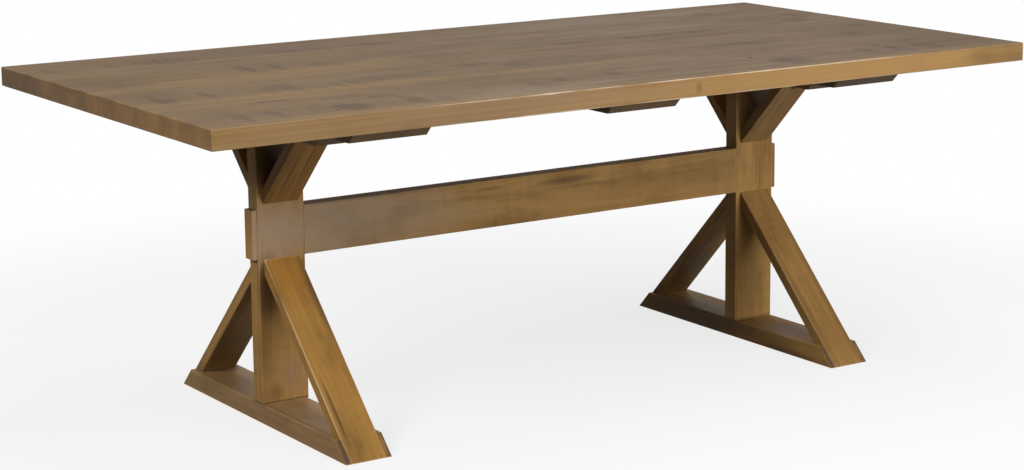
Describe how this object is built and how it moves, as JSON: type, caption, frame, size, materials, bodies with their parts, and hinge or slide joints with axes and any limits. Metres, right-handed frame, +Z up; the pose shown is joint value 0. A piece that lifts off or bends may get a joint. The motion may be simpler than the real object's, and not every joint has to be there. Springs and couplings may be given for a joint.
{
  "type": "double pedestal table",
  "caption": "Rectangular plank-top dining table on post-and-brace trestle pedestals joined by a stretcher.",
  "frame": {"origin": "on the floor, under the middle of the top", "axes": "+X along the top, from left to right; +Y across it, from the near side to the far side; +Z up"},
  "size_m": [2.134, 1.067, 0.762],
  "materials": {
    "stained_top": "satin",
    "stained_frame": "satin",
    "dowel_beech": "matte",
    "zinc_steel": "satin",
    "brass_inserts": "satin"
  },
  "bodies": {
    "root": {"left_batten": "stained_frame", "left_batten_screws": "zinc_steel", "left_brace_to_foot_dowels": "dowel_beech", "left_brace_to_post_dowels": "dowel_beech", "left_brace_to_rail_dowels": "dowel_beech", "left_cap_dowels": "dowel_beech", "left_far_lower_brace": "stained_frame", "left_far_upper_brace": "stained_frame", "left_foot": "stained_frame", "left_foot_lag_screws": "zinc_steel", "left_foot_lag_washers": "zinc_steel", "left_near_lower_brace": "stained_frame", "left_near_upper_brace": "stained_frame", "left_post": "stained_frame", "left_rail_lag_screws": "zinc_steel", "left_rail_lag_washers": "zinc_steel", "left_stretcher_bolt_washers": "zinc_steel", "left_stretcher_bolts": "zinc_steel", "left_stretcher_cap": "stained_frame", "left_stretcher_inserts": "brass_inserts", "left_top_bolt_washers": "zinc_steel", "left_top_bolts": "zinc_steel", "left_top_inserts": "brass_inserts", "left_top_rail": "stained_frame", "middle_batten": "stained_frame", "middle_batten_screws": "zinc_steel", "right_batten": "stained_frame", "right_batten_screws": "zinc_steel", "right_brace_to_foot_dowels": "dowel_beech", "right_brace_to_post_dowels": "dowel_beech", "right_brace_to_rail_dowels": "dowel_beech", "right_cap_dowels": "dowel_beech", "right_far_lower_brace": "stained_frame", "right_far_upper_brace": "stained_frame", "right_foot": "stained_frame", "right_foot_lag_screws": "zinc_steel", "right_foot_lag_washers": "zinc_steel", "right_near_lower_brace": "stained_frame", "right_near_upper_brace": "stained_frame", "right_post": "stained_frame", "right_rail_lag_screws": "zinc_steel", "right_rail_lag_washers": "zinc_steel", "right_stretcher_bolt_washers": "zinc_steel", "right_stretcher_bolts": "zinc_steel", "right_stretcher_cap": "stained_frame", "right_stretcher_inserts": "brass_inserts", "right_top_bolt_washers": "zinc_steel", "right_top_bolts": "zinc_steel", "right_top_inserts": "brass_inserts", "right_top_rail": "stained_frame", "stretcher": "stained_frame", "top_plank_far": "stained_top", "top_plank_mid_far": "stained_top", "top_plank_mid_near": "stained_top", "top_plank_near": "stained_top"}
  },
  "joints": []
}
